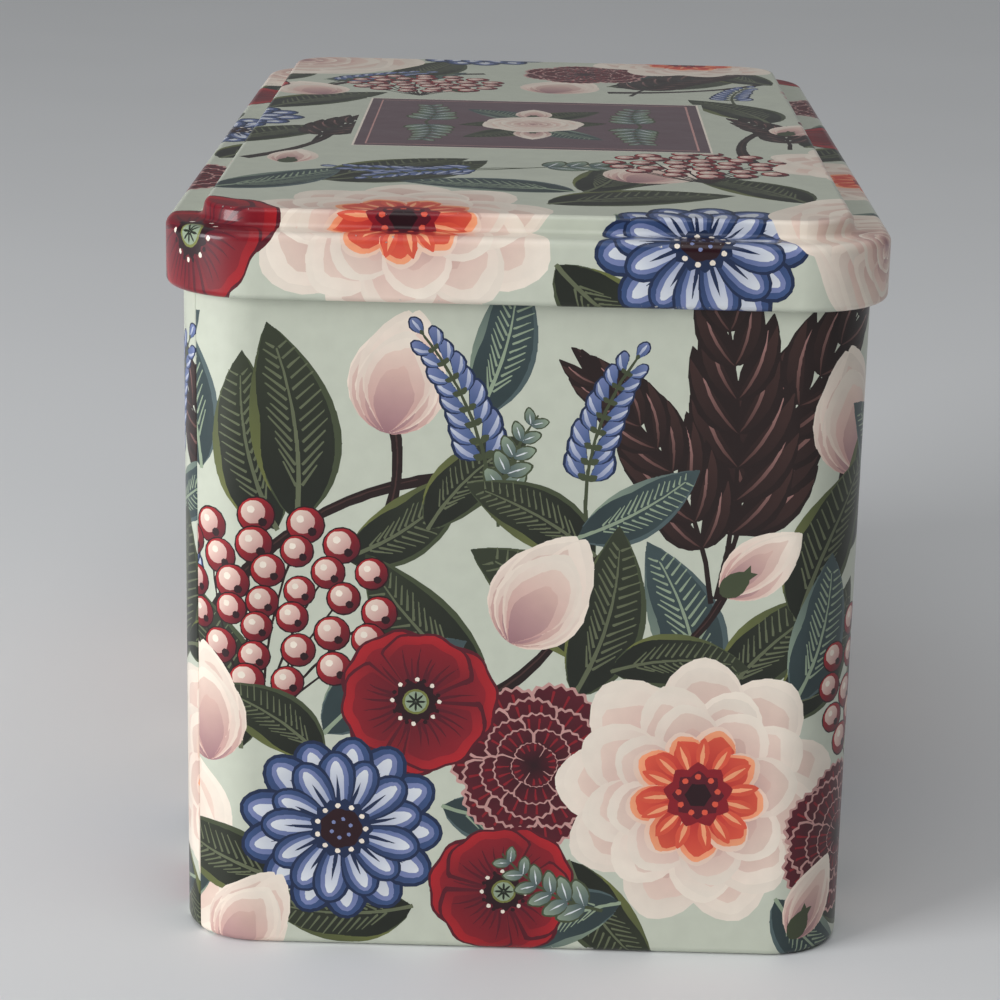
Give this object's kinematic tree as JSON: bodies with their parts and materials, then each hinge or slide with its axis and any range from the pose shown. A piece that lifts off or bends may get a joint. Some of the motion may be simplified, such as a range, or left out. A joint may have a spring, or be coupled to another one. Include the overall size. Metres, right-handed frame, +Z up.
{
  "type": "tin box",
  "caption": "Deep rectangular printed tinplate box with rounded corners and a stepped lid that slips over its walls, for letters and keepsakes.",
  "frame": {"origin": "on the ground under the middle of the closed box", "axes": "+Z up, +Y along the long side away from the short side that faces the picture, +X to the right"},
  "size_m": [0.154, 0.267, 0.1645],
  "materials": {
    "printed_tin": "glossy lacquered print of flowers and leaves on pale sage green",
    "printed_lid": "glossy lacquered print of flowers and leaves on pale sage green",
    "bare_tin": "bright rolled tinplate under clear lacquer"
  },
  "bodies": {
    "box": {"front_right_wall": "printed_tin", "back_left_wall": "printed_tin", "bottom_panel": "bare_tin"},
    "lid": {"lid": "printed_lid"}
  },
  "joints": [
    {"name": "lid_lift", "type": "slide", "parent": "box", "child": "lid", "axis": [0, 0, 1], "range_m": [0, 0.2]}
  ]
}
